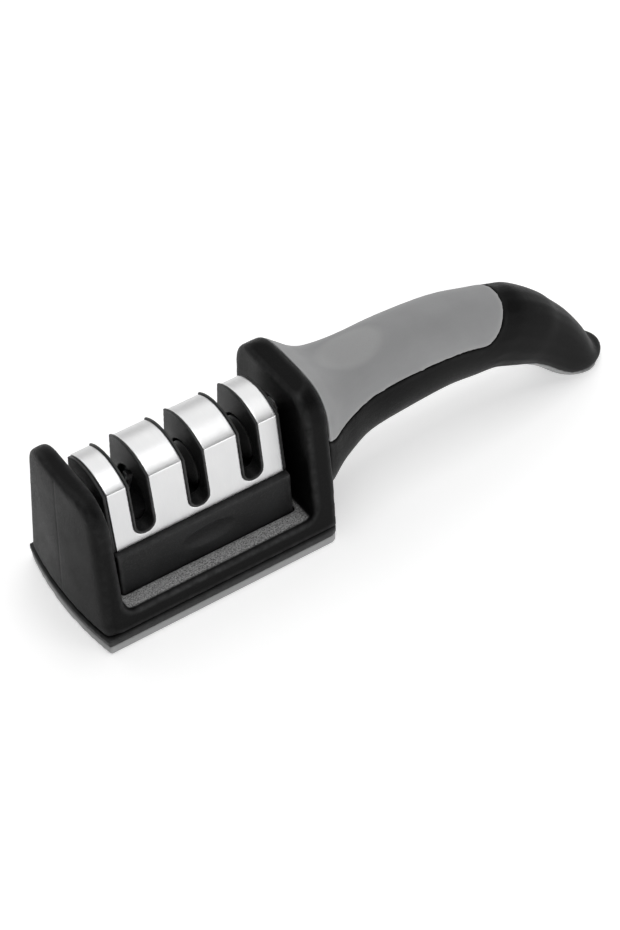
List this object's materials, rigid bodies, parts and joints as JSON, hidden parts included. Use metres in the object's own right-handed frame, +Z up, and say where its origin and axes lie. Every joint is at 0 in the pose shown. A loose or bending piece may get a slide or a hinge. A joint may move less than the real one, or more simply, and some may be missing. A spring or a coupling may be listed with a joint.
{
  "type": "pull-through knife sharpener",
  "caption": "Hand-held three-stage pull-through knife sharpener: lift-out sharpening module with a steel cover in a black cradle, and a curved soft-grip handle.",
  "frame": {"origin": "centre of the base pad's underside, midway between the two end corners of the base", "axes": "+X from the nose towards the handle, +Z up from the table, +Y to the left of someone looking along +X"},
  "size_m": [0.2111, 0.0516, 0.0595],
  "materials": {
    "body_plastic": "satin, fine texture",
    "soft_grip": "matte soft-touch",
    "soft_foot": "matte soft-touch",
    "cover_steel": "fine brushed, bright",
    "screw_steel": "zinc plated",
    "axle_steel": "ground",
    "carbide": "ground tungsten carbide",
    "diamond_grit": "plated diamond grit, sparkling matt",
    "ceramic_dark": "unglazed fine dark ceramic"
  },
  "bodies": {
    "cradle": {"housing": "body_plastic", "base_plate": "body_plastic", "base_pad": "soft_foot", "base_screws": "screw_steel", "handle_core": "body_plastic", "grip": "soft_grip", "tail_foot": "soft_foot", "handle_screws": "screw_steel"},
    "cartridge": {"module_base": "body_plastic", "module_core": "body_plastic", "steel_cover": "cover_steel", "module_screws": "screw_steel", "carbide_front": "carbide", "carbide_rear": "carbide", "carbide_block": "body_plastic", "carbide_screw": "screw_steel", "diamond_axle": "axle_steel", "ceramic_axle": "axle_steel"},
    "diamond_wheel": {"diamond_wheel_left": "diamond_grit", "diamond_wheel_right": "diamond_grit", "diamond_hub": "body_plastic"},
    "ceramic_wheel": {"ceramic_wheel_left": "ceramic_dark", "ceramic_wheel_right": "ceramic_dark", "ceramic_hub": "body_plastic"}
  },
  "joints": [
    {"name": "cartridge_lift", "type": "slide", "parent": "cradle", "child": "cartridge", "axis": [0, 0, 1], "range_m": [0, 0.055]},
    {"name": "diamond_spin", "type": "hinge", "parent": "cartridge", "child": "diamond_wheel", "pos_m": [0, 0, 0.037], "axis": [1, 0, 0], "continuous": true},
    {"name": "ceramic_spin", "type": "hinge", "parent": "cartridge", "child": "ceramic_wheel", "pos_m": [0.0195, 0, 0.037], "axis": [1, 0, 0], "continuous": true}
  ]
}
